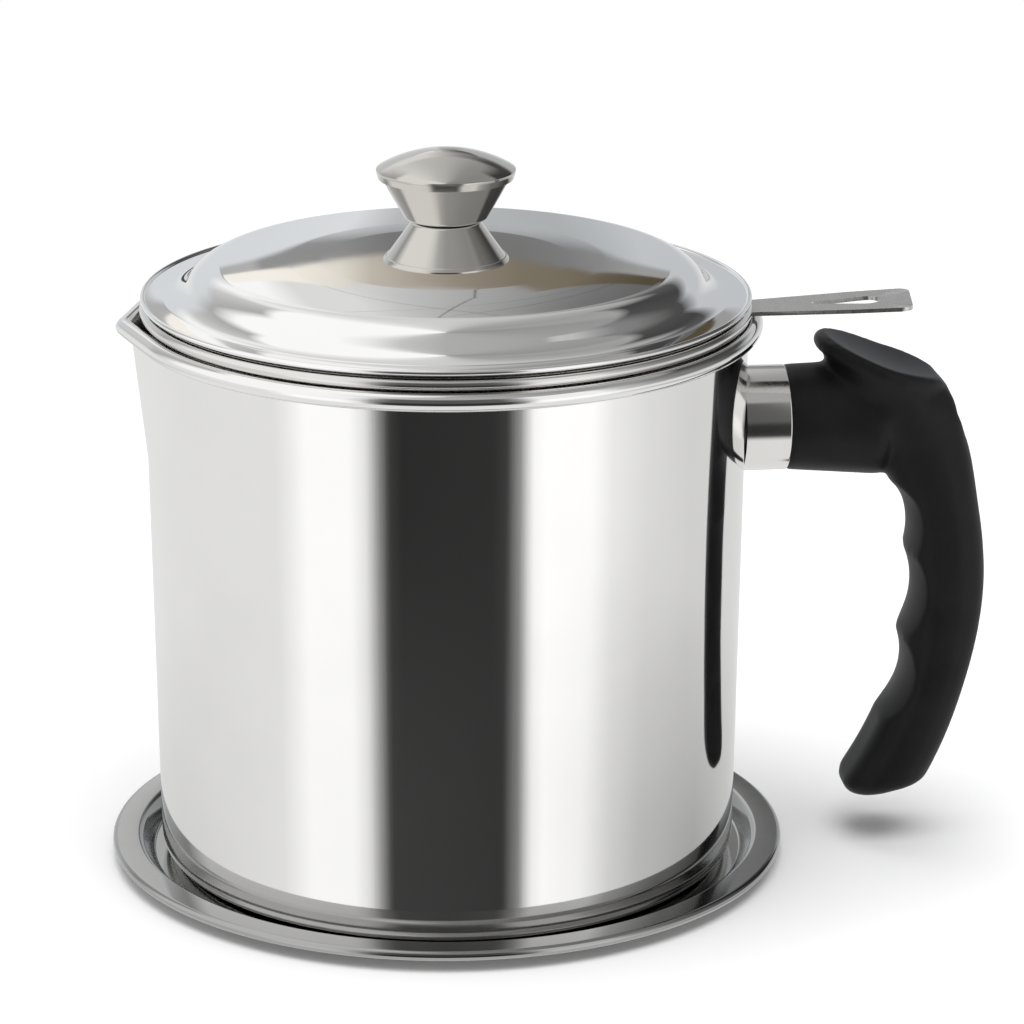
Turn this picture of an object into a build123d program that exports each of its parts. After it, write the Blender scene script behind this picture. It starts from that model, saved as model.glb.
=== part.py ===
from build123d import *
from math import atan2, cos, radians, sin, sqrt, tan
import os

# Bacon grease container: a steel pot with a pulled spout and a C-shaped handle stands in a drip
# tray, a strainer hangs in its mouth and a lid with a knob lies on the strainer.
# Millimetres, +Z up, +X towards the handle, origin in the middle of the tray's underside.

# ---------------------------------------------------------------- driving dimensions

seat_gap = 0.3              # air between rolled rims that lie on each other

# pot body, deep drawn with a little draft
pot_base_radius = 64.2      # outside, at the base
pot_draft = 1.9             # how much wider the wall is under the rolled rim
pot_mouth_radius = pot_base_radius + pot_draft
pot_height = 123.8          # base to the top of the rolled rim
pot_gauge = 0.8
pot_corner = 5.0            # outside radius of the base corner
pot_bead = 3.9              # diameter of the rolled rim

# drip tray, pressed from sheet, laid out round the pot's base
tray_gauge = 0.8
tray_height = 4.6           # top of the flat rim above the table
tray_bead = 2.2             # diameter of the rolled edge
well_play = 2.0             # pot's base to the edge of the well's floor
well_slope = 2.8            # floor's edge to the flat rim
well_corner = 1.2
tray_rim_width = 6.4
well_floor_radius = pot_base_radius + well_play
well_radius = well_floor_radius + well_slope
tray_radius = well_radius + tray_rim_width      # outside of the rolled edge

# pour spout, pulled out of the rim opposite the handle
spout_spread = 17.0         # half angle over which the rim leaves its circle, degrees
spout_nose = 4.0            # radius at the tip
spout_drop = 30.0           # how far down the wall the pull fades out

# handle: ferrule, bracket, grip and the screw down its neck
neck_drop = 26.4            # axis of the neck below the top of the pot's rim
neck_height = tray_gauge + pot_height - neck_drop
neck_radius = 11.7
ferrule_length = 9.2
neck_end = pot_mouth_radius + ferrule_length    # where the moulded neck starts
ferrule_gauge = 0.8
spigot_length = 3.0         # part of the grip that enters the ferrule
spigot_clearance = 0.1
bracket_plate_radius = 9.0
bracket_plate = 1.6
bracket_boss_radius = 5.0
bracket_gap = 0.2           # boss face to the end of the spigot
grip_bend_radius = 88.5     # of the C that the middle of the grip follows
grip_reach = 36.6           # end of the neck to the middle of the grip where it stands furthest out
grip_bend_drop = 39.6       # that place, below the neck's axis
grip_bend_x = neck_end + grip_reach - grip_bend_radius
grip_bend_z = neck_height - grip_bend_drop
grip_depth = 18.0           # finger side to palm side
grip_width = 22.0
grip_corner = 7.8
grip_foot_angle = 32.54     # cut end, below level round the C, degrees
grip_foot_slope = 9.0       # the cut rises away from the pot, degrees
grip_foot_round = 3.0
scoop_wrap = 26.0           # roundness of a finger scoop round the grip
scoops = (                  # degrees above level round the C, depth, roundness along the grip
    (12.4, 2.3, 13.0),
    (1.6, 2.2, 20.0),
    (-13.6, 2.1, 17.0),
)
grip_top_angle = 22.0       # where the grip starts to spread out into the thumb rest
bar_top_angle = 34.0        # the bar itself ends inside the thumb rest's stem
rest_slope = 22.3           # thumb rest, falling away from the pot, degrees
rest_reach = 21.4           # end of the neck to the middle of the thumb rest's top face
rest_rise = 13.8            # that middle above the neck's axis
rest_x = neck_end + rest_reach
rest_z = neck_height + rest_rise
rest_length = 30.6
rest_width = 29.0
rest_lip = 3.8              # thickness of the thumb rest's lip
rest_edge = 1.7
rest_dish = 1.0
rest_root_length = 28.4     # under the lip
rest_root_width = 27.0
rest_root_corner = 13.2
rest_root_back = 1.1        # how far the root lies behind the lip's middle
stem_inset = 0.2            # the stem starts this far inside the bar's surface
neck_spread = 1.2           # how much wider the neck is where it joins the grip
neck_sag = 0.6              # and how much lower its middle lies there
screw_diameter = 5.0
screw_clearance = 0.3
screw_head_radius = 4.4
screw_head_height = 3.0
screw_tip_gap = 1.0         # tip of the screw to the pot's wall
screw_fit = 0.05            # screw to its thread, the thread's own shape left out
counterbore_radius = 5.4
screw_seat = 28.7           # end of the neck to the bottom of the counterbore
counterbore_end = neck_end + screw_seat
washer_plate = 1.0

# strainer: pressed basket with a rolled rim, mesh, clamp ring and lifting tab
basket_depth = 21.0         # rolled rim's middle down to the underside of the inward lip
strainer_gauge = 0.6
strainer_bead = 2.8
basket_clearance = 0.6      # basket to the inside of the pot
basket_inside = pot_mouth_radius - pot_gauge - basket_clearance - strainer_gauge
strainer_bead_radius = basket_inside + strainer_bead    # outside of the rolled rim
lip_width = 6.5             # inward lip that carries the mesh
lip_corner = 1.2
mesh_thickness = 0.5
mesh_margin = 2.0           # mesh edge inside the basket's wall
clamp_thickness = 0.8
strainer_turn = -7.0        # how the strainer lies turned round from the handle, degrees
tab_length = 34.6           # rolled rim to the tip of the tab
tab_reach = strainer_bead_radius + tab_length
tab_root_width = 10.5
tab_head_length = 13.5      # tip back to where the taper eases
tab_waist = tab_reach - tab_head_length
tab_waist_width = 15.5
tab_tip_width = 17.0
tab_gauge = 0.9
tab_tilt = 3.5              # how much the tab points up, degrees
tab_corner = 2.6
slot_root_back = 21.0       # tip of the tab back to the slot's narrow end
slot_root = tab_reach - slot_root_back
slot_root_width = 1.6
slot_tip_back = 9.8
slot_tip = tab_reach - slot_tip_back
slot_tip_width = 6.2

# lid: rolled edge, flange, low dome, locating ring underneath
lid_inset = 0.2             # lid's edge inside the strainer's rim
lid_radius = strainer_bead_radius - lid_inset
lid_gauge = 0.7
lid_bead = 1.6
flange_width = 8.5
dome_foot_radius = lid_radius - flange_width
dome_slope_width = 4.7
dome_shoulder_radius = dome_foot_radius - dome_slope_width
dome_height = 7.4           # flange to the middle of the dome
dome_fall = 0.2             # middle of the dome down to its shoulder
dome_foot_round = 5.0
dome_shoulder_round = 6.0
crown_fall_width = 22.5     # shoulder to the middle of the crown's gentle bend, flat inside it
crown_bend_radius = dome_shoulder_radius - crown_fall_width
crown_round = 900.0
locating_clearance = 1.0    # ring to the inside of the basket
locating_depth = 5.0

# knob: skirt, gasket, cup, cap, bush, screw and washer
skirt_radius = 13.7
skirt_lip = 1.0             # height of the lip round the skirt's foot
skirt_lip_edge = 0.3
skirt_cone_radius = 12.9   # foot of the cone, on the lip
skirt_height = 8.4
skirt_neck_radius = 7.6
knob_gauge = 0.8
gasket_radius = 7.0
gasket_thickness = 0.8
cup_foot_radius = 8.9       # where the cone would meet the cup's bottom
cup_corner = 1.4
cup_height = 9.0
cup_top_radius = 14.4
cap_radius = 15.2           # at the crimped edge
cap_crease_radius = 14.9    # where the crimped edge meets the crown
cap_edge = 0.8              # height of the edge's rounding
cap_band = 2.2
cap_crown = 4.0
cup_flange_radius = 14.7
cup_flange = 0.5            # thickness of the cup's flange inside the cap's edge
bush_radius = 4.2
bush_length = 9.0
knob_screw_diameter = 4.0
knob_screw_head_radius = 4.0
knob_screw_head_height = 2.4
knob_screw_grip = 6.5       # screw inside the bush
knob_washer_radius = 5.5


# ---------------------------------------------------------------- places worked out from them

pot_base = tray_gauge
pot_bead_x = pot_mouth_radius - pot_gauge + pot_bead / 2
pot_bead_z = pot_base + pot_height - pot_bead / 2
pot_rim_top = pot_base + pot_height
spout_top = pot_bead_z + pot_bead / 4
spout_foot = pot_bead_z - spout_drop
strainer_bead_x = strainer_bead_radius - strainer_bead / 2
lid_bead_x = lid_radius - lid_bead / 2


def rim_rise(lower_x, lower_size, upper_x, upper_size):
    """Height between two rolled rims, one lying on the other with seat_gap between them."""
    reach = (lower_size + upper_size) / 2 + seat_gap
    return sqrt(reach ** 2 - (upper_x - lower_x) ** 2)


strainer_bead_z = pot_bead_z + rim_rise(pot_bead_x, pot_bead, strainer_bead_x, strainer_bead)
lid_bead_z = strainer_bead_z + rim_rise(strainer_bead_x, strainer_bead, lid_bead_x, lid_bead)
lid_top = lid_bead_z + dome_height + lid_gauge / 2
lid_under = lid_top - lid_gauge
skirt_top = lid_top + skirt_height
cup_foot = skirt_top + gasket_thickness
cap_foot = cup_foot + cup_height
boss_end = neck_end - spigot_length - bracket_gap


# ---------------------------------------------------------------- shared shapes

def turned(profile):
    """A solid turned about the Z axis from a flat profile drawn as (radius, height)."""
    return revolve(Plane.XZ * make_face(profile), Axis.Z)


def pressed(points, rounds, gauge):
    """Sheet of an even gauge turned about Z, its middle line given as (radius, height)."""
    middle = FilletPolyline(*points, radius=rounds)
    return revolve(Plane.XZ * trace(middle, line_width=gauge), Axis.Z)


def rolled_edge(ring_radius, height, diameter):
    return Pos(0, 0, height) * Torus(ring_radius, diameter / 2)


def tube(outer, inner, start, end):
    """A round tube or bar along +X at the height of the handle's neck."""
    place = Location((start, 0, neck_height), (0, 90, 0))
    bar = Cylinder(outer, end - start, align=(Align.CENTER, Align.CENTER, Align.MIN))
    if inner > 0:
        bar -= Cylinder(inner, end - start, align=(Align.CENTER, Align.CENTER, Align.MIN))
    return place * bar


# ---------------------------------------------------------------- drip tray

def make_drip_tray():
    bead_x = tray_radius - tray_bead / 2
    rim_z = tray_height - tray_gauge / 2
    sheet = pressed(
        [(0, tray_gauge / 2), (well_floor_radius, tray_gauge / 2), (well_radius, rim_z), (bead_x, rim_z)],
        well_corner, tray_gauge)
    return sheet + rolled_edge(bead_x, tray_height - tray_bead / 2, tray_bead)


# ---------------------------------------------------------------- pot body

def wall_radius(height):
    """Outside radius of the pot's wall at a height above the table."""
    rise = (height - pot_base) / (spout_top - pot_base)
    return pot_base_radius + (pot_mouth_radius - pot_base_radius) * rise


def mouth_line(radius, pulled):
    """Closed outline of the wall: a circle, or one drawn out to the spout's nose."""
    spread = radians(spout_spread)
    side = (-radius * cos(spread), radius * sin(spread))
    tip = radius / cos(spread)
    cut = spout_nose * tan(spread)
    nose = (-tip + cut * sin(spread), cut * cos(spread))
    nose_tip = -tip + spout_nose * (1 / cos(spread) - 1)
    round_part = ThreePointArc(side, (radius, 0), (side[0], -side[1]))
    if pulled:
        front = Line((side[0], -side[1]), (nose[0], -nose[1]))
        point = ThreePointArc((nose[0], -nose[1]), (nose_tip, 0), nose)
        back = Line(nose, side)
        return Wire([round_part, front, point, back])
    nose_turn = atan2(nose[1], -nose[0])
    stop = (-radius * cos(nose_turn), radius * sin(nose_turn))
    middle_turn = (nose_turn + spread) / 2
    middle = (-radius * cos(middle_turn), radius * sin(middle_turn))
    front = ThreePointArc((side[0], -side[1]), (middle[0], -middle[1]), (stop[0], -stop[1]))
    point = ThreePointArc((stop[0], -stop[1]), (-radius, 0), stop)
    back = ThreePointArc(stop, middle, side)
    return Wire([round_part, front, point, back])


def vessel_form(inset, floor):
    """The filled form of the pot, inset from its outside by a wall, spout included."""
    base = wall_radius(floor) - inset
    foot = wall_radius(spout_foot) - inset
    mouth = wall_radius(spout_top) - inset
    side = FilletPolyline((0, floor), (base, floor), (foot, spout_foot), radius=pot_corner - inset)
    cup = turned([side, Line((foot, spout_foot), (0, spout_foot)), Line((0, spout_foot), (0, floor))])
    collar = loft([Pos(0, 0, spout_foot) * make_face(mouth_line(foot, False)),
                   Pos(0, 0, spout_top) * make_face(mouth_line(mouth, True))], ruled=True)
    return cup + collar


def make_pot_body():
    wall = vessel_form(0, pot_base) - vessel_form(pot_gauge, pot_base + pot_gauge)
    rim_path = Pos(0, 0, pot_bead_z) * mouth_line(pot_bead_x, True)
    start = Plane(origin=rim_path @ 0, z_dir=rim_path % 0)
    return wall + sweep(start * Circle(pot_bead / 2), path=rim_path)


# ---------------------------------------------------------------- handle

def make_handle_bracket():
    """Plate welded to the wall and the threaded boss that the long screw pulls on."""
    wall = wall_radius(neck_height)
    plate = tube(bracket_plate_radius, 0, 0, wall + bracket_plate)
    boss = tube(bracket_boss_radius, 0, 0, boss_end)
    thread = tube(screw_diameter / 2 + screw_fit, 0, wall + screw_tip_gap, boss_end)
    return plate + boss - thread - vessel_form(0, pot_base)


def make_handle_ferrule():
    sleeve = tube(neck_radius, neck_radius - ferrule_gauge, 0, neck_end)
    return sleeve - vessel_form(0, pot_base)


def on_rest(along, across, up):
    """A point given from the middle of the thumb rest's sloping face."""
    slope = radians(rest_slope)
    return (rest_x + along * cos(slope) + up * sin(slope), across, rest_z - along * sin(slope) + up * cos(slope))


def rest_plane(up):
    slope = radians(rest_slope)
    return Plane(origin=on_rest(0, 0, up), x_dir=(cos(slope), 0, -sin(slope)), z_dir=(sin(slope), 0, cos(slope)))


def make_neck():
    """Round where the ferrule ends, spreading a little towards the grip."""
    joint = Plane(origin=(rest_x, 0, neck_height - neck_sag), x_dir=(0, 1, 0), z_dir=(1, 0, 0))
    round_end = Plane(origin=(neck_end, 0, neck_height), x_dir=(0, 1, 0), z_dir=(1, 0, 0))
    return loft([round_end * Circle(neck_radius), joint * Circle(neck_radius + neck_spread)])


def grip_section(angle, inset=0):
    """The grip's rounded section, square to the C at an angle above level."""
    turn = radians(angle)
    centre = (grip_bend_x + grip_bend_radius * cos(turn), 0, grip_bend_z + grip_bend_radius * sin(turn))
    across = Plane(origin=centre, x_dir=(cos(turn), 0, sin(turn)), z_dir=(-sin(turn), 0, cos(turn)))
    return across * RectangleRounded(grip_depth - 2 * inset, grip_width - 2 * inset, grip_corner - inset)


def finger_scoop(angle, depth, tube_radius):
    """A saddle cut round the finger side of the grip, deepest in the middle, gone at the sides."""
    turn = radians(angle)
    inner = grip_bend_radius - grip_depth / 2 + depth + scoop_wrap
    place = Location((grip_bend_x + inner * cos(turn), 0, grip_bend_z + inner * sin(turn)), (0, -angle, 0))
    return place * Torus(scoop_wrap + tube_radius, tube_radius)


def make_grip_bar():
    """The C-shaped bar, cut level at its foot, with a scoop for each finger."""
    bend = Axis((grip_bend_x, 0, grip_bend_z), (0, 1, 0))
    bar = revolve(grip_section(bar_top_angle), bend, bar_top_angle + 50)
    slope = radians(grip_foot_slope)
    foot = radians(grip_foot_angle)
    end = (grip_bend_x + grip_bend_radius * cos(foot), 0, grip_bend_z - grip_bend_radius * sin(foot))
    cut = Plane(origin=end, x_dir=(cos(slope), 0, sin(slope)), z_dir=(-sin(slope), 0, cos(slope)))
    bar = split(bar, cut, keep=Keep.TOP)
    bar = fillet(bar.faces().sort_by(Axis.Z)[0].edges(), grip_foot_round)
    for angle, depth, tube_radius in scoops:
        bar -= finger_scoop(angle, depth, tube_radius)
    return split(bar, rest_plane(-rest_edge), keep=Keep.BOTTOM)


def make_thumb_rest():
    """The grip's upper end, spread out under a dished oval lip that overhangs the neck."""
    root = rest_plane(-rest_lip) * Pos(rest_root_back, 0)
    under = root * RectangleRounded(rest_root_length, rest_root_width, rest_root_corner)
    stem = loft([grip_section(grip_top_angle, stem_inset), under])
    lip = extrude(rest_plane(-rest_lip) * Ellipse(rest_length / 2, rest_width / 2), rest_lip)
    lip = fillet(lip.edges(), rest_edge)
    reach = rest_length / 2 - rest_edge
    ball = (reach ** 2 + rest_dish ** 2) / (2 * rest_dish)
    rest = stem + lip - Pos(*on_rest(0, 0, ball - rest_dish)) * Sphere(ball)
    drum = Location((grip_bend_x, 0, grip_bend_z), (90, 0, 0)) * Cylinder(grip_bend_radius + grip_depth / 2 + 0.4, rest_width * 2)
    return rest & drum


def make_handle_grip():
    spigot = tube(neck_radius - ferrule_gauge - spigot_clearance, 0, neck_end - spigot_length, neck_end)
    grip = make_neck() + make_grip_bar() + make_thumb_rest() + spigot
    grip -= tube(screw_diameter / 2 + screw_clearance, 0, neck_end - spigot_length, counterbore_end)
    return grip - tube(counterbore_radius, 0, counterbore_end, grip_bend_x + grip_bend_radius + grip_depth)


def make_handle_screw():
    seat = counterbore_end + washer_plate
    shank = tube(screw_diameter / 2, 0, wall_radius(neck_height) + screw_tip_gap, seat)
    return shank + tube(screw_head_radius, 0, seat, seat + screw_head_height)


def make_handle_washer():
    hole = screw_diameter / 2 + screw_clearance
    return tube(counterbore_radius - screw_clearance, hole, counterbore_end, counterbore_end + washer_plate)


# ---------------------------------------------------------------- strainer

def make_strainer_frame():
    wall_middle = basket_inside + strainer_gauge / 2
    lip_z = strainer_bead_z - basket_depth + strainer_gauge / 2
    basket = pressed(
        [(basket_inside - lip_width, lip_z), (wall_middle, lip_z), (wall_middle, strainer_bead_z)],
        lip_corner, strainer_gauge)
    return basket + rolled_edge(strainer_bead_x, strainer_bead_z, strainer_bead)


def ring(outer, inner, foot, top):
    """A flat ring or disc about the Z axis."""
    disc = Cylinder(outer, top - foot, align=(Align.CENTER, Align.CENTER, Align.MIN))
    if inner > 0:
        disc -= Cylinder(inner, top - foot, align=(Align.CENTER, Align.CENTER, Align.MIN))
    return Pos(0, 0, foot) * disc


def make_strainer_mesh():
    foot = strainer_bead_z - basket_depth + strainer_gauge
    return ring(basket_inside - mesh_margin, 0, foot, foot + mesh_thickness)


def make_mesh_ring():
    foot = strainer_bead_z - basket_depth + strainer_gauge + mesh_thickness
    return ring(basket_inside - mesh_margin, basket_inside - lip_width, foot, foot + clamp_thickness)


def make_strainer_tab():
    """Flat tab with a keyhole slot, its root shaped to the rolled rim that it is welded to."""
    half = [(strainer_bead_x, tab_root_width / 2), (tab_waist, tab_waist_width / 2), (tab_reach, tab_tip_width / 2)]
    other = [(x, -y) for x, y in reversed(half)]
    outline = make_face(Polyline(*half, *other, close=True))
    outline = fillet(outline.vertices().sort_by(Axis.X)[-2:], tab_corner)
    slot = make_hull([*(Pos(slot_root, 0) * Circle(slot_root_width / 2)).edges(),
                      *(Pos(slot_tip, 0) * Circle(slot_tip_width / 2)).edges()])
    plate = extrude(outline - slot, tab_gauge)
    root = Pos(strainer_bead_x, 0, pot_rim_top + seat_gap) * Rot(0, -tab_tilt, 0) * Pos(-strainer_bead_x, 0, 0)
    rim = rolled_edge(strainer_bead_x, strainer_bead_z, strainer_bead)
    return Rot(0, 0, strainer_turn) * (root * plate - rim)


# ---------------------------------------------------------------- lid

def make_lid_shell():
    flange = lid_bead_z
    dome = flange + dome_height
    shell = pressed(
        [(0, dome), (crown_bend_radius, dome), (dome_shoulder_radius, dome - dome_fall),
         (dome_foot_radius, flange), (lid_bead_x, flange)],
        [crown_round, dome_shoulder_round, dome_foot_round], lid_gauge)
    hole = ring(knob_screw_diameter / 2 + screw_clearance, 0, lid_under - lid_gauge, lid_top + lid_gauge)
    return shell + rolled_edge(lid_bead_x, lid_bead_z, lid_bead) - hole


def make_locating_ring():
    outer = basket_inside - locating_clearance
    top = lid_bead_z - lid_gauge / 2
    return ring(outer, outer - lid_gauge, top - locating_depth, top)


# ---------------------------------------------------------------- knob

knob_hole = knob_screw_diameter / 2 + screw_clearance


def make_knob_skirt():
    """Hollow cone with a flat lip round its foot."""
    lip_z = lid_top + skirt_lip
    return turned(Polyline(
        (skirt_neck_radius, skirt_top), (skirt_cone_radius, lip_z), (skirt_cone_radius + skirt_lip_edge, lip_z),
        (skirt_radius, lid_top + skirt_lip_edge), (skirt_radius, lid_top),
        (skirt_cone_radius - knob_gauge, lid_top), (skirt_cone_radius - knob_gauge, lip_z - knob_gauge),
        (skirt_neck_radius - knob_gauge, skirt_top - knob_gauge), (knob_hole, skirt_top - knob_gauge),
        (knob_hole, skirt_top), close=True))


def make_knob_gasket():
    return ring(gasket_radius, knob_hole, skirt_top, cup_foot)


def make_knob_cup():
    """Cone with a rounded bottom corner and a flange held by the cap."""
    flange_z = cap_foot + knob_gauge
    lean = (cup_top_radius - cup_foot_radius) / (flange_z - cup_foot)
    inner_foot = cup_foot_radius - knob_gauge * (sqrt(1 + lean ** 2) - lean)
    outside = FilletPolyline((knob_hole, cup_foot), (cup_foot_radius, cup_foot), (cup_top_radius, flange_z),
                             (cup_flange_radius, flange_z), radius=(cup_corner, 0.2))
    inside_top = (cup_top_radius - knob_gauge * sqrt(1 + lean ** 2), flange_z + cup_flange)
    inside = FilletPolyline(inside_top, (inner_foot, cup_foot + knob_gauge), (knob_hole, cup_foot + knob_gauge),
                            radius=cup_corner - knob_gauge / 2)
    flange = Polyline((cup_flange_radius, flange_z), (cup_flange_radius, flange_z + cup_flange), inside_top)
    return turned([outside, flange, inside, Line((knob_hole, cup_foot + knob_gauge), (knob_hole, cup_foot))])


def make_knob_cap():
    """Domed cap whose edge is turned in under the cup's flange."""
    crease_z = cap_foot + cap_band
    inner_x = cup_flange_radius
    lip = cup_top_radius + 0.1
    outside = crown_arc(cap_crease_radius, crease_z, cap_crown)
    inside = crown_arc(inner_x, crease_z - knob_gauge / 2, cap_crown - knob_gauge / 2)
    turn_in = (cap_radius - 0.1, crease_z - cap_edge)
    edge = ThreePointArc((cap_crease_radius, crease_z), (cap_radius, crease_z - cap_edge / 2), turn_in)
    hem = Polyline(turn_in, (lip + 0.2, cap_foot), (lip, cap_foot), (lip, cap_foot + knob_gauge),
                   (inner_x, cap_foot + knob_gauge), (inner_x, crease_z - knob_gauge / 2))
    middle = Line((0, crease_z + cap_crown - knob_gauge), (0, crease_z + cap_crown))
    return turned([outside, edge, hem, inside, middle])


def crown_arc(radius, foot, rise):
    """Circular arc from a crown on the axis down to a radius and height."""
    ball = (radius ** 2 + rise ** 2) / (2 * rise)
    halfway = radius / 2
    drop = ball - sqrt(ball ** 2 - halfway ** 2)
    return ThreePointArc((0, foot + rise), (halfway, foot + rise - drop), (radius, foot))


def make_knob_bush():
    foot = cup_foot + knob_gauge
    blank = ring(bush_radius, 0, foot, foot + bush_length)
    return blank - ring(knob_screw_diameter / 2 + screw_fit, 0, foot, foot + knob_screw_grip + 0.5)


def make_knob_washer():
    return ring(knob_washer_radius, knob_hole, lid_under - washer_plate, lid_under)


def make_knob_screw():
    seat = lid_under - washer_plate
    shank = ring(knob_screw_diameter / 2, 0, seat, cup_foot + knob_gauge + knob_screw_grip)
    return shank + ring(knob_screw_head_radius, 0, seat - knob_screw_head_height, seat)


# ---------------------------------------------------------------- the finished pieces

pieces = {
    "drip_tray": make_drip_tray,
    "pot_body": make_pot_body,
    "handle_bracket": make_handle_bracket,
    "handle_ferrule": make_handle_ferrule,
    "handle_grip": make_handle_grip,
    "handle_screw": make_handle_screw,
    "handle_washer": make_handle_washer,
    "strainer_frame": make_strainer_frame,
    "strainer_mesh": make_strainer_mesh,
    "mesh_ring": make_mesh_ring,
    "strainer_tab": make_strainer_tab,
    "lid_shell": make_lid_shell,
    "locating_ring": make_locating_ring,
    "knob_skirt": make_knob_skirt,
    "knob_gasket": make_knob_gasket,
    "knob_cup": make_knob_cup,
    "knob_cap": make_knob_cap,
    "knob_bush": make_knob_bush,
    "knob_washer": make_knob_washer,
    "knob_screw": make_knob_screw,
}

os.makedirs("parts", exist_ok=True)
for name, make in pieces.items():
    export_step(make(), f"parts/{name}.step")
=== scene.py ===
import math

import bmesh
import bpy
from mathutils import Matrix, Vector


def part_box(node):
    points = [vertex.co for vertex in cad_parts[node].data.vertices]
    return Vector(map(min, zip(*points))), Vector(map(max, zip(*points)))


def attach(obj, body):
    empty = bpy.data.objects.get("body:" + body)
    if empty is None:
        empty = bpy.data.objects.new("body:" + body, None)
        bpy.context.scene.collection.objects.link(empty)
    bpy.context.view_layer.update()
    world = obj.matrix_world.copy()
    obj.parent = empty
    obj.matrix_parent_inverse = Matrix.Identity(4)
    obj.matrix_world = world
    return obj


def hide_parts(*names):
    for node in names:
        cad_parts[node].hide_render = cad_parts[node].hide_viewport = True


# Bacon grease container in metres: +Z up, +X towards the handle, the origin under the drip tray.
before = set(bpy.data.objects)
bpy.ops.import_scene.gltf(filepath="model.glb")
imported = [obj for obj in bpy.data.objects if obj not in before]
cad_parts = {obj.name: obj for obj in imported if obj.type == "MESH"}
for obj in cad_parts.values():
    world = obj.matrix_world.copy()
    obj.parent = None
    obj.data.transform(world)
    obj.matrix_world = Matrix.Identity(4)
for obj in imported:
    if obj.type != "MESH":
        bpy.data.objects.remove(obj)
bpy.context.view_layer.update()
mm = 0.001


# ---------------------------------------------------------------- shapes
# Sheet pieces are drawn as a closed outline in the XZ plane and turned round an axis.

hard_edge = math.radians(32)    # faces that meet at a greater angle are not shaded as one


def outline(bm, corners):
    """A closed line in the XZ plane from (x, z, rounding radius), its corners rounded."""
    verts = [bm.verts.new((x, 0, z)) for x, z, _ in corners]
    for a, b in zip(verts, verts[1:] + verts[:1]):
        bm.edges.new((a, b))
    for vert, (_, _, radius) in zip(verts, corners):
        if radius:
            one, other = [(edge.other_vert(vert).co - vert.co).normalized()
                          for edge in vert.link_edges]
            half_turn = (math.pi - one.angle(other)) / 2
            bmesh.ops.bevel(bm, geom=[vert], offset=radius * math.tan(half_turn), segments=12,
                            profile=0.5, affect="VERTICES", material=-1)


def curl(x, z, radius, start, stop, steps=28):
    """Corners along a sheet's edge that is rolled over, from one angle to another in degrees."""
    turns = [math.radians(start + (stop - start) * step / steps) for step in range(steps + 1)]
    return [(x + radius * math.cos(turn), z + radius * math.sin(turn), 0) for turn in turns]


def turn_round(bm, steps, axis=(0, 0, 1), through=(0, 0, 0)):
    """Spins everything drawn so far into a closed turned shape."""
    bmesh.ops.spin(bm, geom=bm.verts[:] + bm.edges[:], cent=through, axis=axis, dvec=(0, 0, 0),
                   angle=2 * math.pi, steps=steps, use_merge=True)
    bmesh.ops.remove_doubles(bm, verts=bm.verts[:], dist=1e-6)
    bmesh.ops.dissolve_degenerate(bm, edges=bm.edges[:], dist=1e-7)
    bmesh.ops.recalc_face_normals(bm, faces=bm.faces[:])


def copy_node(name):
    """The CAD piece's mesh, merged, ready to be softened."""
    copy = bmesh.new()
    copy.from_mesh(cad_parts[name].data)
    bmesh.ops.remove_doubles(copy, verts=copy.verts[:], dist=1e-6)
    return copy


def place_piece(bm, name, body, finish, slot, *nodes):
    """Makes the bmesh a smooth piece that rides on a body and stands for its CAD nodes."""
    mesh = bpy.data.meshes.new(name)
    bm.to_mesh(mesh)
    bm.free()
    mesh.polygons.foreach_set("use_smooth", [True] * len(mesh.polygons))
    mesh.set_sharp_from_angle(angle=hard_edge)
    mesh.materials.append(finish)
    piece = bpy.data.objects.new(name, mesh)
    bpy.context.scene.collection.objects.link(piece)
    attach(piece, body)
    if nodes:
        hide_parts(*nodes)
    return piece


def break_edges(piece, width):
    """Takes the sharp edges off with a small chamfer."""
    chamfer = piece.modifiers.new("broken edge", "BEVEL")
    chamfer.width, chamfer.segments, chamfer.limit_method = width, 2, "ANGLE"
    chamfer.angle_limit = math.radians(45)


# ---------------------------------------------------------------- finishes
# All of them are procedural and lie in the piece's own coordinates.

def feed(tree, socket, value):
    """Links the socket to another node's output, or sets it to a plain value."""
    if isinstance(value, bpy.types.NodeSocket):
        tree.links.new(value, socket)
    else:
        socket.default_value = value


def node_after(tree, kind, *sources, operation=None, **inputs):
    """Adds a node, feeds its first inputs in their order and the other ones by name."""
    node = tree.nodes.new(kind)
    if operation:
        node.operation = operation
    for socket, source in zip(node.inputs, sources):
        feed(tree, socket, source)
    for name, value in inputs.items():
        feed(tree, node.inputs[name.replace("_", " ")], value)
    return node


def new_finish(name):
    """A new material with its node tree, its shader and the place on the piece."""
    finish = bpy.data.materials.new(name)
    finish.use_nodes = True
    tree = finish.node_tree
    place = tree.nodes.new("ShaderNodeTexCoord").outputs["Object"]
    return finish, tree, tree.nodes["Principled BSDF"], place


def two_tones(tree, source, low, dark, high, light):
    """The dark colour up to the low value of the source, the light one from the high value on."""
    tones = node_after(tree, "ShaderNodeValToRGB", source)
    first, last = tones.color_ramp.elements
    first.position, first.color = low, (*dark, 1)
    last.position, last.color = high, (*light, 1)
    return tones.outputs[0]


def emboss(tree, shader, height, strength, distance):
    """Gives the shader a fine relief."""
    relief = node_after(tree, "ShaderNodeBump", Strength=strength, Distance=distance, Height=height)
    tree.links.new(relief.outputs[0], shader.inputs["Normal"])


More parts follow.
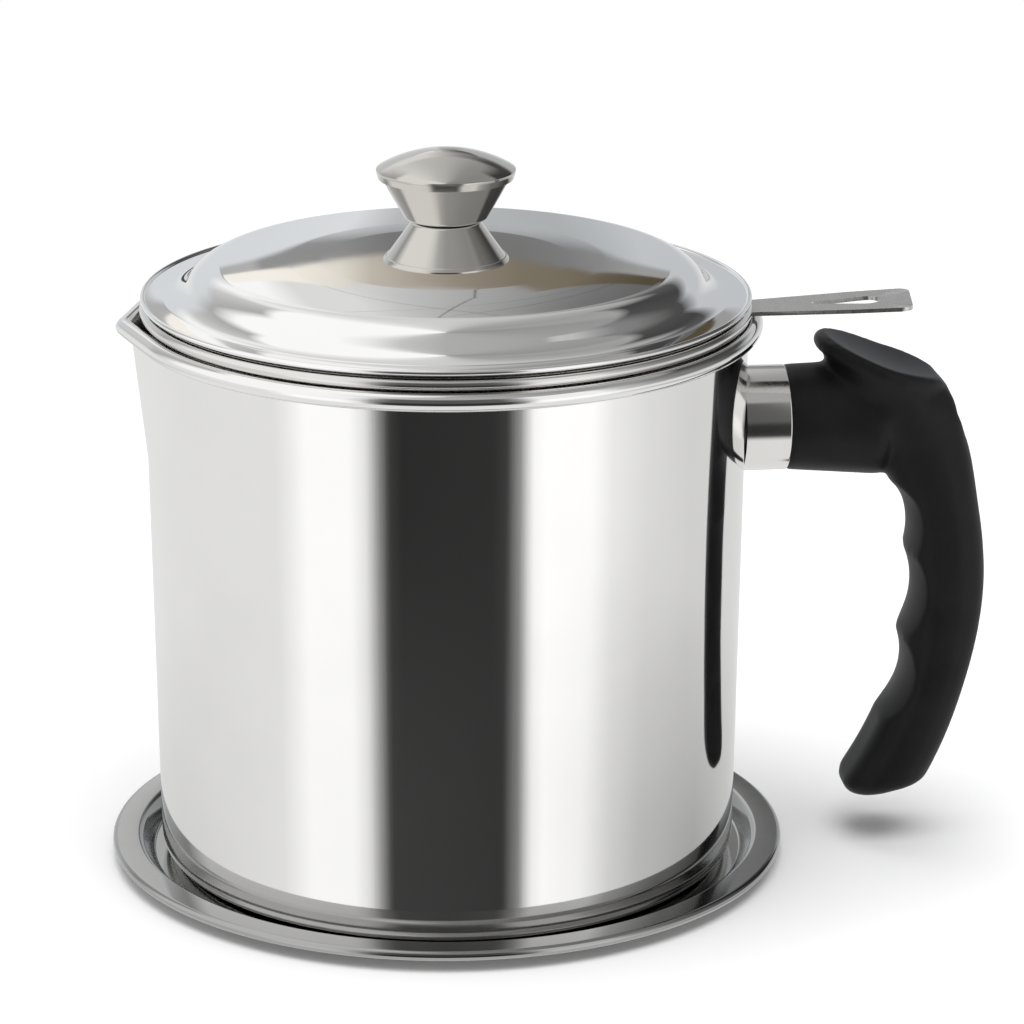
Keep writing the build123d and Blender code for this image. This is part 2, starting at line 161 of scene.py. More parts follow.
def steel_finish(name, colour, rough, spread, grain, bump):
    """Stainless steel: rough varies by the spread, grain stretches the marks along X, Y and Z."""
    finish, tree, shader, place = new_finish(name)
    shader.inputs["Metallic"].default_value = 1.0
    stretched = node_after(tree, "ShaderNodeMapping", place, Scale=grain)
    marks = node_after(tree, "ShaderNodeTexNoise", stretched.outputs[0], Scale=1.0, Detail=4.0)
    clouds = node_after(tree, "ShaderNodeTexNoise", place, Scale=60.0, Detail=3.0)
    tint = node_after(tree, "ShaderNodeMapRange", clouds.outputs["Fac"], To_Min=0.94, To_Max=1.0)
    base = node_after(tree, "ShaderNodeVectorMath", colour, operation="SCALE",
                      Scale=tint.outputs[0])
    roughness = node_after(tree, "ShaderNodeMapRange", marks.outputs["Fac"],
                           To_Min=rough - spread, To_Max=rough + spread)
    tree.links.new(base.outputs[0], shader.inputs["Base Color"])
    tree.links.new(roughness.outputs[0], shader.inputs["Roughness"])
    emboss(tree, shader, marks.outputs["Fac"], bump, 0.05 * mm)
    return finish


def brush_inside(finish, heart, extra):
    """Roughens the finish where the surface faces the heart of the vessel, a point on its axis."""
    tree = finish.node_tree
    roughness = tree.nodes["Principled BSDF"].inputs["Roughness"]
    surface = tree.nodes.new("ShaderNodeTexCoord").outputs
    away = node_after(tree, "ShaderNodeVectorMath", surface["Object"], (0, 0, heart),
                      operation="SUBTRACT")
    facing = node_after(tree, "ShaderNodeVectorMath", away.outputs["Vector"], surface["Normal"],
                        operation="DOT_PRODUCT")
    inside = node_after(tree, "ShaderNodeMath", facing.outputs["Value"], 0.0,
                        operation="LESS_THAN")
    rougher = node_after(tree, "ShaderNodeMath", inside.outputs[0], extra,
                         roughness.links[0].from_socket, operation="MULTIPLY_ADD")
    tree.links.new(rougher.outputs[0], roughness)


def black_moulding(name):
    """Matte black, a little patchy, with a fine grain."""
    finish, tree, shader, place = new_finish(name)
    patches = node_after(tree, "ShaderNodeTexNoise", place, Scale=90.0, Detail=5.0).outputs["Fac"]
    shade = two_tones(tree, patches, 0.35, (0.009, 0.009, 0.010), 0.75, (0.014, 0.014, 0.015))
    dull = node_after(tree, "ShaderNodeMapRange", patches, To_Min=0.40, To_Max=0.50)
    grain = node_after(tree, "ShaderNodeTexNoise", place, Scale=2600.0, Detail=2.0)
    tree.links.new(shade, shader.inputs["Base Color"])
    tree.links.new(dull.outputs[0], shader.inputs["Roughness"])
    shader.inputs["Specular IOR Level"].default_value = 0.15
    emboss(tree, shader, grain.outputs["Fac"], 0.25, 0.1 * mm)
    return finish


def woven_wire(waves):
    """Two sets of fine wires passing over and under each other, the holes between them painted dark
    as the shade seen through them.
    """
    finish, tree, shader, place = new_finish("woven wire")
    shader.inputs["Metallic"].default_value = 1.0
    shader.inputs["Roughness"].default_value = 0.35
    sets = []
    for direction in ("X", "Y"):
        wires = node_after(tree, "ShaderNodeTexWave", place, Scale=waves, Distortion=0.0)
        wires.bands_direction = direction
        sets.append(wires.outputs["Fac"])
    higher = node_after(tree, "ShaderNodeMath", *sets, operation="MAXIMUM").outputs[0]
    # painted shade: where no wire lies the disc is near black
    colour = two_tones(tree, higher, 0.55, (0.02, 0.02, 0.02), 0.80, (0.66, 0.65, 0.63))
    tree.links.new(colour, shader.inputs["Base Color"])
    emboss(tree, shader, higher, 0.8, 0.2 * mm)
    return finish


# ---------------------------------------------------------------- drip tray
# A saucer pressed from stainless sheet. Its rim is flat and ends in a rolled edge, and the pot
# stands in the shallow well. The whole tray is polished after pressing.

tray_radius = 75.4 * mm
tray_height = 4.6 * mm
tray_sheet = 0.8 * mm
tray_roll = 1.1 * mm            # radius of the rolled edge
tray_roll_x = tray_radius - tray_roll
tray_roll_z = tray_height - tray_roll
tray_seam = 0.9 * mm            # the rim's underside meets the roll this far inside its middle
rim_under = tray_height - tray_sheet
well_edge = 69.0 * mm
well_floor = 66.2 * mm
well_lean = 0.3 * mm            # the well's slanted wall lies this much further out underneath
inner_bend = 0.8 * mm
outer_bend = inner_bend + tray_sheet

# Painted shade: the tray's polished steel gets about half the brightness of the pot's, so the tray
# looks darker than the same steel would.
tray_steel_painted_shade = steel_finish("tray steel with painted shade", (0.42, 0.42, 0.415), rough=0.13, spread=0.04,
                             grain=(300, 300, 300), bump=0.1)

tray = bmesh.new()
outline(tray, [
    (0, 0, 0), (well_floor + well_lean, 0, outer_bend),
    (well_edge + well_lean, rim_under, inner_bend), (tray_roll_x - tray_seam, rim_under, 0),
    *curl(tray_roll_x, tray_roll_z, tray_roll, 190, 450),
    (well_edge, tray_height, outer_bend), (well_floor, tray_sheet, inner_bend), (0, tray_sheet, 0)])
turn_round(tray, steps=360)
place_piece(tray, "tray_pressing", "tray", tray_steel_painted_shade, "polished_steel", "drip_tray")


# ---------------------------------------------------------------- pot body
# Deep drawn from one sheet: a flat base, a round corner and a wall with a little draft. The rim is
# rolled outwards, and the pour spout is pulled out of wall and rim together. Inside it is brushed.

pot_foot = 0.8 * mm
pot_base_radius = 64.2 * mm
pot_mouth_radius = 66.1 * mm
pot_sheet = 0.8 * mm
pot_corner = 5.0 * mm
pot_roll = 1.95 * mm
pot_roll_x = 67.25 * mm
pot_roll_z = 122.65 * mm
pot_seam = 0.18 * mm            # the open seam between the wall and the rolled edge
curl_gap = 0.75 * mm            # it reaches up to this far under the roll's middle
wall_cuts = 23                  # rows of vertices up the wall, so that it can bend to the spout
spout_spread = math.radians(17)
spout_drop = 30 * mm            # how far below the rim the pull starts
spout_nose = 4.0 * mm
spout_blunt = 0.15              # how much of the nose rounds the tip of the beak


def pull_spout(bm):
    """Draws the rim and the wall under it out to a beak on the -X side."""
    blunt = spout_nose / pot_mouth_radius * spout_blunt
    for vert in bm.verts:
        x, y, z = vert.co
        away = math.atan2(y, -x)
        height = (z - (pot_roll_z - spout_drop)) / spout_drop
        if abs(away) < spout_spread and height > 0:
            turn = spout_spread - math.hypot(away, blunt)
            pull = (1 / math.cos(max(turn, 0)) - 1) * min(height, 1.0)
            vert.co.x *= 1 + pull
            vert.co.y *= 1 + pull


def is_wall(edge):
    """Whether the edge is one of the outline's two long upright ones."""
    return abs(edge.verts[0].co.z - edge.verts[1].co.z) > pot_roll_z / 2


polished_wall = steel_finish("polished pot wall", (0.89, 0.885, 0.875), rough=0.055, spread=0.02,
                             grain=(900, 900, 8), bump=0.05)
brush_inside(polished_wall, heart=60 * mm, extra=0.38)

pot = bmesh.new()
outline(pot, [
    (0, pot_foot, 0), (pot_base_radius, pot_foot, pot_corner),
    (pot_mouth_radius, pot_roll_z - curl_gap, 0),
    (pot_mouth_radius + pot_seam, pot_roll_z - curl_gap, 0),
    *curl(pot_roll_x, pot_roll_z, pot_roll, 240, 540),
    (pot_base_radius - pot_sheet, pot_foot + pot_sheet, pot_corner - pot_sheet),
    (0, pot_foot + pot_sheet, 0)])
walls = [edge for edge in pot.edges if is_wall(edge)]
bmesh.ops.subdivide_edges(pot, edges=walls, cuts=wall_cuts)
turn_round(pot, steps=540)
pull_spout(pot)
place_piece(pot, "pot_vessel", "pot", polished_wall, "polished_steel", "pot_body")


# ---------------------------------------------------------------- handle ferrule
# A bright sleeve that closes the gap between the wall and the moulded handle.

neck_height = 98.2 * mm
neck_radius = 11.7 * mm
neck_end = 75.3 * mm
ferrule_start = 65.2 * mm
ferrule_outside = neck_height + neck_radius
ferrule_inside = ferrule_outside - 0.8 * mm

bright_ferrule = steel_finish("bright ferrule steel", (0.84, 0.83, 0.81), rough=0.12, spread=0.03,
                              grain=(40, 900, 900), bump=0.1)

ferrule = bmesh.new()
outline(ferrule, [
    (ferrule_start, ferrule_outside, 0), (neck_end, ferrule_outside, 0.35 * mm),
    (neck_end, ferrule_inside, 0), (ferrule_start, ferrule_inside, 0)])
turn_round(ferrule, steps=160, axis=(1, 0, 0), through=(0, 0, neck_height))
place_piece(ferrule, "ferrule_sleeve", "pot", bright_ferrule, "polished_steel", "handle_ferrule")


# ---------------------------------------------------------------- handle grip
# One moulding in matte black phenolic. Neck, thumb rest and grip flow into each other, and the
# mould leaves a fine grain on the surface. In the CAD the grip is an even bar with its scoops;
# here it gets a taper and a fuller palm side, and the scoops lie a little lower.
# Turns are degrees round the C: 0 is level with its centre and 42 is under the thumb rest.

grip_bend = Vector((23.4 * mm, 0, 58.6 * mm))   # centre of the C
grip_middle = 88.5 * mm                         # its radius, at the middle of the grip
neck_inside = 45 * mm                           # nearer to the centre than this nothing changes
rest_turn = 42                                  # and nothing further up than this

slim_foot = 0.13                                # how much thinner the grip gets towards its foot
slim_turns = (3, -17)                           # and from where to where it does
full_palm = 1.9 * mm                            # how far it swells under the thumb rest
filled_hollow = 0.7 * mm                        # and where the thumb rest's stem leaves a hollow
palm_side = (88 * mm, 97 * mm)                  # radii over which the swelling grows
scoop_slip = math.radians(1.9)                  # how far the finger scoops slip down the C
scoop_side = (92 * mm, 84 * mm)                 # radii over which the slip grows

neck_corner = (93 * mm, 97 * mm)                # x and z where the neck flows into the grip
neck_corner_reach = 17 * mm
neck_corner_side = 102 * mm                     # the palm side beyond this x stays as it is
palm_corner = (114 * mm, 97 * mm)               # x and z where the palm flows into the thumb rest
palm_corner_reach = 9 * mm


def within(value):
    """The value, held between 0 and 1."""
    return min(max(value, 0), 1)


def ease(value, start, stop):
    """0 at the start, 1 at the stop, with a soft step between them."""
    share = within((value - start) / (stop - start))
    return share * share * (3 - 2 * share)


def flow_of_grip(point):
    """Where a point of the even bar lies in the moulding; each change has its own span of turns."""
    away = point - grip_bend
    radius, turn = math.hypot(away.x, away.z), math.degrees(math.atan2(away.z, away.x))
    if away.x < neck_inside or turn > rest_turn:
        return point
    slim = 1 - slim_foot * ease(turn, *slim_turns)
    swell = full_palm * ease(turn, 10, 26) * (1 - ease(turn, 27, 29.5) / 2) * ease(turn, 38, 31)
    fill = filled_hollow * ease(turn, 20, 24) * ease(turn, 29, 25)
    slip = scoop_slip * ease(turn, 14, 7) * ease(turn, -29, -20) * ease(radius, *scoop_side)
    swell = (swell + fill) * ease(radius, *palm_side)
    radius = grip_middle + (radius - grip_middle) * slim + swell
    turned = math.radians(turn) - slip
    return Vector((grip_bend.x + radius * math.cos(turned), point.y,
                   grip_bend.z + radius * math.sin(turned)))


def nearness(point, corner, reach):
    """1 at a corner given as x and z, falling to 0 at its reach."""
    return 1 - math.hypot(point.x - corner[0], point.z - corner[1]) / reach


moulding = black_moulding("matte black moulding")
grip_piece = place_piece(copy_node("handle_grip"), "grip_moulding", "pot", moulding,
                         "black_plastic", "handle_grip")
even = grip_piece.modifiers.new("even skin", "REMESH")
even.mode, even.voxel_size, even.use_smooth_shade = "VOXEL", 0.6 * mm, True
evened = grip_piece.evaluated_get(bpy.context.evaluated_depsgraph_get())
skin = bpy.data.meshes.new_from_object(evened)
grip_piece.modifiers.clear()
grip_piece.data = skin
for vert in skin.vertices:
    vert.co = flow_of_grip(vert.co)
joint = grip_piece.vertex_groups.new(name="where neck and grip meet")
for vert in skin.vertices:
    share = (within(1.4 * nearness(vert.co, neck_corner, neck_corner_reach))
             * within((neck_corner_side - vert.co.x) / (4 * mm)))
    share = max(share, min(1.2 * nearness(vert.co, palm_corner, palm_corner_reach), 0.8))
    if share > 0:
        joint.add([vert.index], share, "REPLACE")
flow = grip_piece.modifiers.new("flow together", "SMOOTH")
flow.factor, flow.iterations, flow.vertex_group = 0.5, 100, joint.name
soften = grip_piece.modifiers.new("soften", "SMOOTH")
soften.factor, soften.iterations = 0.5, 12


# ---------------------------------------------------------------- strainer
# A shallow basket whose rolled rim lies on the pot's rim. A ring clamps a fine woven mesh on its
# inward lip, and a flat stamped tab with a slot is welded to the rim.

basket_sheet = 0.6 * mm
basket_inside = 64.1 * mm
basket_outside = basket_inside + basket_sheet
basket_roll = 1.4 * mm
basket_roll_x = 65.5 * mm
basket_roll_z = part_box("strainer_frame")[1].z - basket_roll
basket_seam = 0.14 * mm         # the open seam between the basket's wall and its rolled edge
seam_end = basket_roll_z - 0.8 * mm
basket_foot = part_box("strainer_frame")[0].z
lip_edge = basket_inside - 6.5 * mm
mesh_waves = 260.0              # about one wire every 0.6 mm each way

polished_basket = steel_finish("polished basket steel", (0.76, 0.75, 0.73), rough=0.14, spread=0.03,
                               grain=(700, 700, 30), bump=0.1)
satin_ring = steel_finish("satin ring steel", (0.60, 0.59, 0.58), rough=0.28, spread=0.05,
                          grain=(500, 500, 500), bump=0.2)
stamped_tab = steel_finish("stamped tab steel", (0.70, 0.69, 0.67), rough=0.28, spread=0.06,
                           grain=(900, 200, 900), bump=0.3)

basket = bmesh.new()
outline(basket, [
    (lip_edge, basket_foot, 0), (basket_outside, basket_foot, 1.4 * mm),
    (basket_outside, seam_end, 0), (basket_outside + basket_seam, seam_end, 0),
    *curl(basket_roll_x, basket_roll_z, basket_roll, 242, 540),
    (basket_inside, basket_foot + basket_sheet, 0.8 * mm),
    (lip_edge, basket_foot + basket_sheet, 0)])
turn_round(basket, steps=360)
place_piece(basket, "strainer_basket", "strainer", polished_basket, "polished_steel",
            "strainer_frame")

wire_disc = bmesh.new()
mesh_foot, mesh_top = (corner.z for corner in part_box("strainer_mesh"))
mesh_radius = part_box("strainer_mesh")[1].x
outline(wire_disc, [(0, mesh_foot, 0), (mesh_radius, mesh_foot, 0.1 * mm),
                    (mesh_radius, mesh_top, 0.1 * mm), (0, mesh_top, 0)])
turn_round(wire_disc, steps=180)
woven = woven_wire(mesh_waves)
place_piece(wire_disc, "mesh_disc", "strainer", woven, "woven_mesh", "strainer_mesh")

clamp = bmesh.new()
clamp_foot, clamp_top = (corner.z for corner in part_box("mesh_ring"))
outline(clamp, [(lip_edge, clamp_foot, 0.1 * mm), (mesh_radius, clamp_foot, 0.1 * mm),
                (mesh_radius, clamp_top, 0.3 * mm), (lip_edge, clamp_top, 0.3 * mm)])
turn_round(clamp, steps=240)
place_piece(clamp, "clamp_ring", "strainer", satin_ring, "satin_steel", "mesh_ring")

tab = place_piece(copy_node("strainer_tab"), "lifting_tab", "strainer", stamped_tab, "satin_steel",
                  "strainer_tab")
break_edges(tab, 0.12 * mm)


# ---------------------------------------------------------------- lid
# Spun from one sheet: a low dome, a flat flange and a rolled edge. A ring welded underneath keeps
# the lid from sliding off the strainer.

lid_radius = 66.7 * mm
lid_sheet = 0.7 * mm
half = lid_sheet / 2
lid_roll = 0.8 * mm             # the roll's space
slim_roll = 0.62 * mm           # the roll hugs the top of it, so a shadow gap stays under it
dome_rise = 7.4 * mm
lid_roll_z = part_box("lid_shell")[1].z - half - dome_rise
lid_top = lid_roll_z + dome_rise + half
dome_foot = 58.2 * mm
dome_shoulder = 53.5 * mm
dome_lean = 0.19 * mm           # how far the dome's slanted wall lies out on top and in underneath
dome_fall = 0.2 * mm            # how much lower than the crown the shoulder lies
foot_bend = 6.5 * mm            # bends of the sheet's middle
shoulder_bend = 7.5 * mm
crown_bend = 31.0 * mm
crown_round = 900 * mm
hole = 2.3 * mm                 # for the knob's screw

mirror_lid = steel_finish("mirror lid steel", (0.93, 0.925, 0.92), rough=0.02, spread=0.01,
                          grain=(400, 400, 400), bump=0.003)

lid = bmesh.new()
outline(lid, [
    (hole, lid_top, 0), (crown_bend, lid_top, crown_round),
    (dome_shoulder + dome_lean, lid_top - dome_fall, shoulder_bend + half),
    (dome_foot + dome_lean, lid_roll_z + half, foot_bend - half),
    *curl(lid_radius - slim_roll, lid_roll_z + lid_roll - slim_roll, slim_roll, 164, -122),
    (dome_foot - dome_lean, lid_roll_z - half, foot_bend + half),
    (dome_shoulder - dome_lean, lid_top - lid_sheet - dome_fall, shoulder_bend - half),
    (crown_bend, lid_top - lid_sheet, crown_round), (hole, lid_top - lid_sheet, 0)])
turn_round(lid, steps=360)
place_piece(lid, "lid_spinning", "lid", mirror_lid, "polished_steel", "lid_shell")

welded = bmesh.new()
ring_foot, ring_top = (corner.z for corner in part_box("locating_ring"))
ring_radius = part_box("locating_ring")[1].x
ring_inside = ring_radius - lid_sheet
outline(welded, [(ring_inside, ring_foot, 0.25 * mm), (ring_radius, ring_foot, 0.25 * mm),
                 (ring_radius, ring_top, 0), (ring_inside, ring_top, 0)])
turn_round(welded, steps=240)
place_piece(welded, "locating_hoop", "lid", satin_ring, "satin_steel", "locating_ring")


# ---------------------------------------------------------------- knob
# Two pressed bells meet at a thin black gasket, and a domed cap is crimped over the upper one.

bell_sheet = 0.8 * mm
skirt_top = lid_top + 8.4 * mm
skirt_neck = 7.6 * mm
skirt_foot = 12.9 * mm
skirt_lip = 13.7 * mm
lip_top = lid_top + 1.0 * mm
gasket_radius = 7.0 * mm
cup_foot = skirt_top + 0.8 * mm
cup_base = 8.9 * mm
cup_mouth = 14.4 * mm
flange_edge = 14.7 * mm
cap_foot = cup_foot + 9.0 * mm
flange = cap_foot + 0.8 * mm
crease = cap_foot + 2.2 * mm    # where the cap's dome meets its crimped edge
crown = 4.0 * mm                # how far the dome rises over it
cap_edge = 15.2 * mm
dome_edge = 14.9 * mm
dome_radius = (dome_edge ** 2 + crown ** 2) / (2 * crown)
dome_inside = dome_radius - 0.75 * mm
dome_centre = crease + crown - dome_radius
dome_start = 90 - math.degrees(math.asin(dome_edge / dome_radius))
inside_start = 90 - math.degrees(math.asin(14.6 * mm / dome_inside))

turned_knob = steel_finish("turned knob steel", (0.64, 0.62, 0.58), rough=0.07, spread=0.02,
                           grain=(260, 260, 2200), bump=0.12)

skirt = bmesh.new()
outline(skirt, [
    (hole, skirt_top, 0), (skirt_neck, skirt_top, 0.5 * mm), (skirt_foot, lip_top, 0.15 * mm),
    (skirt_foot + 0.3 * mm, lip_top, 0.15 * mm), (skirt_lip, lid_top + 0.3 * mm, 0.3 * mm),
    (skirt_lip, lid_top, 0.05 * mm), (skirt_foot - bell_sheet, lid_top, 0),
    (skirt_foot - bell_sheet, lid_top + 0.2 * mm, 0),
    (skirt_neck - bell_sheet, skirt_top - bell_sheet, 0), (hole, skirt_top - bell_sheet, 0)])
turn_round(skirt, steps=160)
place_piece(skirt, "skirt_bell", "lid", turned_knob, "polished_steel", "knob_skirt")

gasket = bmesh.new()
outline(gasket, [(hole, skirt_top, 0), (gasket_radius, skirt_top, 0.15 * mm),
                 (gasket_radius, cup_foot, 0.15 * mm), (hole, cup_foot, 0)])
turn_round(gasket, steps=96)
rubber = black_moulding("black rubber")
place_piece(gasket, "gasket_disc", "lid", rubber, "black_rubber", "knob_gasket")

cup = bmesh.new()
outline(cup, [
    (hole, cup_foot, 0), (cup_base, cup_foot, 1.4 * mm), (cup_mouth, flange, 0),
    (flange_edge, flange, 0), (flange_edge, flange + 0.5 * mm, 0),
    (cup_mouth - 0.9 * mm, flange + 0.5 * mm, 0),
    (cup_base - 0.4 * mm, cup_foot + bell_sheet, 1.0 * mm), (hole, cup_foot + bell_sheet, 0)])
turn_round(cup, steps=160)
place_piece(cup, "cup_bell", "lid", turned_knob, "polished_steel", "knob_cup")

cap = bmesh.new()
outline(cap, [
    *curl(0, dome_centre, dome_radius, 90, dome_start, steps=20),
    (cap_edge, crease - 0.25 * mm, 0.15 * mm), (cap_edge - 0.08 * mm, crease - 0.8 * mm, 0.3 * mm),
    (flange_edge + 0.05 * mm, cap_foot, 0.15 * mm), (cup_mouth + 0.1 * mm, cap_foot, 0),
    (cup_mouth + 0.1 * mm, flange, 0), (flange_edge, flange, 0),
    *curl(0, dome_centre, dome_inside, inside_start, 90, steps=12)])
turn_round(cap, steps=160)
place_piece(cap, "cap_dome", "lid", turned_knob, "polished_steel", "knob_cap")


# ---------------------------------------------------------------- fastenings
# Plain steel: the bracket inside the ferrule, the long screw and washer at the back of the handle,
# and the bush, washer and screw that hold the knob on the lid.

plain_hardware = steel_finish("plain hardware steel", (0.55, 0.55, 0.54), rough=0.32, spread=0.05,
                              grain=(800, 800, 800), bump=0.2)
for name, body in (("handle_bracket", "pot"), ("handle_screw", "pot"), ("handle_washer", "pot"),
                   ("knob_bush", "lid"), ("knob_washer", "lid"), ("knob_screw", "lid")):
    part = place_piece(copy_node(name), name + "_made", body, plain_hardware, "plain_steel", name)
    break_edges(part, 0.2 * mm)

# the crown of the lid mirrors the tent alone, without the knob that stands on it
for name in ("skirt_bell", "gasket_disc", "cup_bell", "cap_dome", "knob_bush_made",
             "knob_screw_made"):
    bpy.data.objects[name].visible_glossy = False


# ---------------------------------------------------------------- light tent
# The tent is the world: white panels with dark gaps between them, which is what polished steel
# shows. Its panels are given by how high they hang and by where they stand round the pot.

camera_azimuth = math.radians(264.5)    # where the camera stands, seen from the pot


def tent():
    """The world, as seen from the pot: walls all round, a room behind it and a plain floor."""
    world = bpy.data.worlds.new("light tent")
    world.use_nodes = True
    tree = world.node_tree
    tree.nodes.clear()

    def maths(kind, *values):
        """What a maths node makes of the values."""
        return node_after(tree, "ShaderNodeMath", *values, operation=kind).outputs[0]

    def ramp(value, stops):
        """Shades or colours that follow each other as the value goes from 0 to 1."""
        node = node_after(tree, "ShaderNodeValToRGB", value)
        elements = node.color_ramp.elements
        for position, _ in stops[1:-1]:
            elements.new(position)
        for element, (position, shade) in zip(elements, stops):
            element.position = position
            element.color = (*shade, 1) if isinstance(shade, tuple) else (shade, shade, shade, 1)
        return node.outputs[0]

    def past(value, start, stop):
        """0 before the start, 1 after the stop."""
        return ramp(value, [(0.0, 0.0), (start, 0.0), (stop, 1.0), (1.0, 1.0)])

    def mix(share, one, other, blend="MIX"):
        """One colour where the share is 0, the other where it is 1."""
        node = tree.nodes.new("ShaderNodeMix")
        node.data_type, node.blend_type = "RGBA", blend
        for index, value in ((0, share), (6, one), (7, other)):
            feed(tree, node.inputs[index], value)
        return node.outputs[2]

    # front and right are measured from the camera's side of the pot
    way = tree.nodes.new("ShaderNodeTexCoord").outputs["Generated"]
    east, north, up = node_after(tree, "ShaderNodeSeparateXYZ", way).outputs
    east_share, north_share = math.cos(camera_azimuth), math.sin(camera_azimuth)
    front = maths("ADD", maths("MULTIPLY", east, east_share), maths("MULTIPLY", north, north_share))
    right = maths("SUBTRACT", maths("MULTIPLY", north, east_share),
                  maths("MULTIPLY", east, north_share))
    back = maths("SUBTRACT", 0.0, front)
    round_pot = maths("ADD", maths("DIVIDE", maths("ARCTAN2", right, front), 2 * math.pi), 0.5)
    height = maths("ADD", maths("MULTIPLY", up, 0.5), 0.5)
    climb = maths("MULTIPLY", maths("ARCSINE", up), 180 / math.pi)

    def around(straight_behind, *stops):
        """Shades round the pot at degrees from the camera, positive towards the handle."""
        turns = [(degrees / 360 + 0.5, shade) for degrees, shade in stops]
        return ramp(round_pot, [(0.0, straight_behind), *turns, (1.0, straight_behind)])

    def above(*limits):
        """0 below the first limit, 1 above the other, in degrees above level."""
        return past(height, *(math.sin(math.radians(limit)) / 2 + 0.5 for limit in limits))

    wall = around(
        0.79, (-150, 0.84), (-68, 0.85), (-61, 0.98), (-55, 1.13), (-37, 1.12), (-31, 0.90),
        (-26, 0.32), (-22, 0.05), (-17, 0.028), (17, 0.032), (23, 0.05), (28, 0.32), (33, 1.08),
        (38, 1.17), (57, 1.15), (66, 0.95), (83, 0.81), (107, 0.73), (150, 0.74))
    foot = around(
        0.60, (-68, 0.84), (-55, 1.08), (-37, 1.08), (-31, 0.85), (-26, 0.32), (-22, 0.05),
        (22, 0.04), (28, 0.25), (33, 0.95), (38, 1.10), (54, 1.0), (67, 0.72), (82, 0.55),
        (117, 0.40))
    sky = mix(above(-22.5, -19), foot, wall)

    # higher up the panels follow each other in the same way, brighter in front towards the top
    middle = around(
        0.62, (-173, 0.95), (-163, 1.0), (-152, 0.62), (-138, 0.50), (-128, 0.45), (-120, 0.75),
        (-112, 1.05), (-60, 1.05), (-37, 1.0), (-31, 0.75), (-26, 0.30), (-20, 0.12), (0, 0.10),
        (20, 0.12), (26, 0.35), (33, 0.95), (57, 1.0), (66, 0.6), (80, 0.38), (92, 0.24),
        (102, 0.22), (115, 0.14), (125, 0.08), (150, 0.06), (165, 0.10), (175, 0.35))
    over = around(
        0.66, (-169, 0.75), (-150, 1.05), (-60, 1.05), (-44, 0.90), (-26, 0.60), (0, 0.45),
        (26, 0.43), (45, 0.40), (67, 0.36), (92, 0.34), (115, 0.32), (130, 0.38), (150, 0.36),
        (165, 0.42))
    behind = past(back, 0.62, 0.80)
    upper = maths("DIVIDE", maths("ADD", climb, maths("MULTIPLY", behind, 14.0)), 120.0)
    over = mix(past(upper, 44 / 120, 48 / 120), middle, over)

    # the room behind the pot, as the flat lid mirrors it: narrow bands, bright on the left
    aside = maths("ADD", maths("MULTIPLY", maths("DIVIDE", right, back), 4.0), 0.5)
    bow = maths("MULTIPLY", maths("POWER", maths("SUBTRACT", aside, 0.48), 2.0), 18.0)
    lowest, highest = 12, 17        # degrees above level between which the bands change
    step = maths("SUBTRACT", maths("DIVIDE", maths("SUBTRACT", climb, bow), highest - lowest),
                 lowest / (highest - lowest))

    def band(degrees, soft, lower, higher):
        """The lower band up to that height, the higher one from there, with a soft edge."""
        edge = (degrees - lowest) / (highest - lowest)
        return mix(past(step, edge - soft, edge + soft), lower, higher)

    seam_width = 0.0024

    def streaked(panel, off):
        """The panel with a thin dark seam where off is nought."""
        near = maths("DIVIDE", maths("ABSOLUTE", off), seam_width)
        seam = ramp(near, [(0.0, 0.30), (0.3, 0.35), (0.6, 1.0), (1.0, 1.0)])
        return mix(1.0, panel, seam, blend="MULTIPLY")

    pale = ramp(aside, [
        (0.28, (0.70, 0.73, 0.75)), (0.40, (0.74, 0.76, 0.78)), (0.45, (0.50, 0.51, 0.52)),
        (0.62, (0.44, 0.46, 0.47)), (0.67, (0.48, 0.51, 0.53)), (0.72, (0.56, 0.58, 0.60))])
    grey = ramp(aside, [
        (0.28, 0.45), (0.30, 0.30), (0.40, 0.27), (0.45, 0.19), (0.57, 0.19), (0.62, 0.22),
        (0.67, 0.29), (0.72, 0.34)])
    beige = ramp(aside, [
        (0.30, (0.97, 0.93, 0.86)), (0.35, (0.95, 0.90, 0.82)), (0.40, (0.78, 0.74, 0.66)),
        (0.43, (0.54, 0.50, 0.43)), (0.47, (0.42, 0.37, 0.31)), (0.51, (0.30, 0.26, 0.21)),
        (0.57, (0.21, 0.18, 0.135)), (0.62, (0.185, 0.16, 0.115)), (0.67, (0.13, 0.107, 0.075)),
        (0.74, (0.09, 0.075, 0.045))])
    screen = ramp(aside, [
        (0.28, 1.0), (0.33, 0.75), (0.40, 0.75), (0.45, 0.58), (0.51, 0.44), (0.57, 0.33),
        (0.62, 0.24), (0.67, 0.18), (0.74, 0.14)])
    for place, lean in ((0.398, 0.05), (0.526, -0.01), (0.652, -0.09), (0.705, -0.06)):
        line = maths("ADD", place, maths("MULTIPLY", maths("SUBTRACT", climb, 15.2), lean))
        screen = streaked(screen, maths("SUBTRACT", aside, line))
    room = band(13.25, 0.03, pale, grey)
    room = band(13.93, 0.012, room, beige)
    room = band(14.66, 0.01, room, screen)

    low = maths("SUBTRACT", 1.0, above(18, 24))
    sky = mix(above(-4, 7), sky, mix(maths("MULTIPLY", behind, low), over, room))
    sky = mix(above(-36, -26), (0.85, 0.85, 0.85, 1), sky)

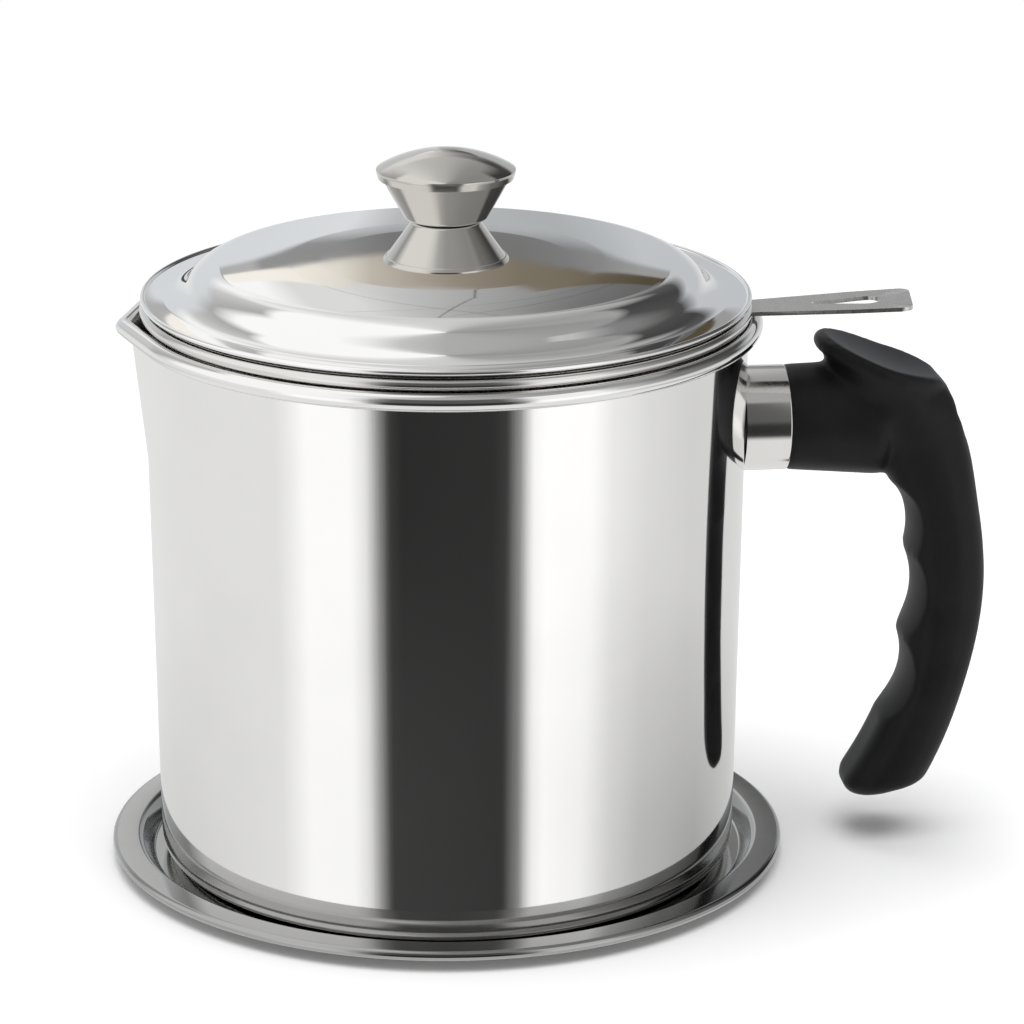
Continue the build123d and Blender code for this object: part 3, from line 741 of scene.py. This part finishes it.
    in_view = tree.nodes.new("ShaderNodeLightPath").outputs["Is Camera Ray"]
    glow = node_after(tree, "ShaderNodeBackground", mix(in_view, sky, (1, 1, 1, 1)), Strength=1.0)
    node_after(tree, "ShaderNodeOutputWorld", glow.outputs[0])
    return world


bpy.context.scene.world = tent()


# ---------------------------------------------------------------- table, softbox and camera

table = bmesh.new()
bmesh.ops.create_circle(table, cap_ends=True, segments=96, radius=0.7)
mesh = bpy.data.meshes.new("table_top")
table.to_mesh(mesh)
table.free()
floor = bpy.data.objects.new("table_top", mesh)
bpy.context.scene.collection.objects.link(floor)
paper = bpy.data.materials.new("white paper")
paper.use_nodes = True
paper_shader = paper.node_tree.nodes["Principled BSDF"]
paper_shader.inputs["Base Color"].default_value = (0.9, 0.9, 0.9, 1)
paper_shader.inputs["Roughness"].default_value = 0.9
paper_shader.inputs["Specular IOR Level"].default_value = 0.0
mesh.materials.append(paper)
floor.visible_glossy = False

softbox_place = Vector((0.1, -0.1, 1.3))
softbox_aim = Vector((0, 0, 0.06))
lamp = bpy.data.lights.new("overhead softbox", "AREA")
lamp.shape = "RECTANGLE"
lamp.size, lamp.size_y = 1.4, 1.4
lamp.energy = 18
softbox = bpy.data.objects.new("overhead softbox", lamp)
softbox.location = softbox_place
softbox.rotation_euler = (softbox_aim - softbox_place).to_track_quat("-Z", "Y").to_euler()
softbox.visible_glossy = False
bpy.context.scene.collection.objects.link(softbox)

camera_data = bpy.data.cameras.new("camera")
camera_data.lens = 159.75
camera_data.sensor_width = 36
camera_data.clip_end = 20
camera = bpy.data.objects.new("camera", camera_data)
camera.location = (-0.0922, -0.9572, 0.3768)
heading, dip, roll = math.radians(83.636), math.radians(-17.24), math.radians(0.13)
level = math.cos(dip)
ahead = Vector((math.cos(heading) * level, math.sin(heading) * level, math.sin(dip)))
camera.rotation_mode = "QUATERNION"
camera.rotation_quaternion = (ahead.to_track_quat("-Z", "Y")
                              @ Matrix.Rotation(roll, 3, "Z").to_quaternion())
bpy.context.scene.collection.objects.link(camera)
bpy.context.scene.camera = camera
bpy.context.scene.view_settings.view_transform = "Standard"
bpy.context.scene.cycles.use_denoising = True
